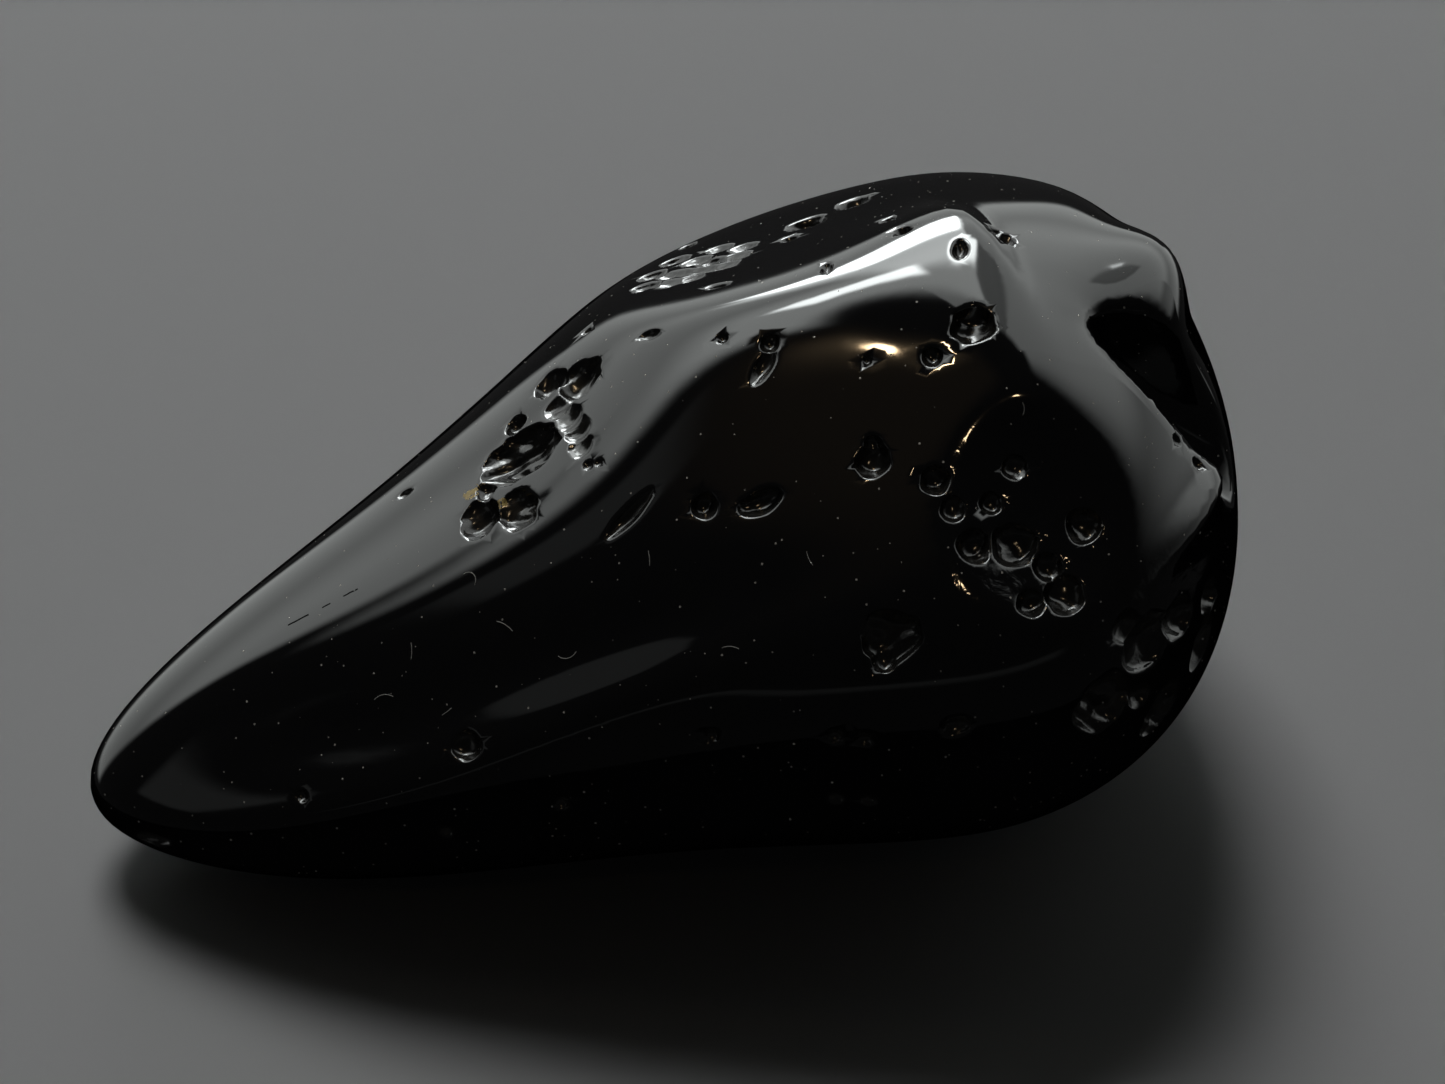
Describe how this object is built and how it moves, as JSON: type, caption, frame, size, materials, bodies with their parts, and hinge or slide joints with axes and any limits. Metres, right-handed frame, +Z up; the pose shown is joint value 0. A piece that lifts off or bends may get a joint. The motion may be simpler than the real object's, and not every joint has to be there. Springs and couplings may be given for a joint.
{
  "type": "tumbled tektite",
  "caption": "Tear-shaped piece of tumbled black natural glass with bubble pits, a worn bowl, a dent between two lobes and a flat spot it rests on.",
  "frame": {"origin": "centre of the bounding box in X and Y, on the surface the stone rests on", "axes": "+X along the stone from its narrow tip to its thick end, +Y towards its back, +Z up with the stone at rest"},
  "size_m": [0.0499, 0.0324, 0.0266],
  "materials": {
    "glass": "tumbled to a wet gloss, opaque black"
  },
  "bodies": {
    "root": {"tektite": "glass"}
  },
  "joints": []
}
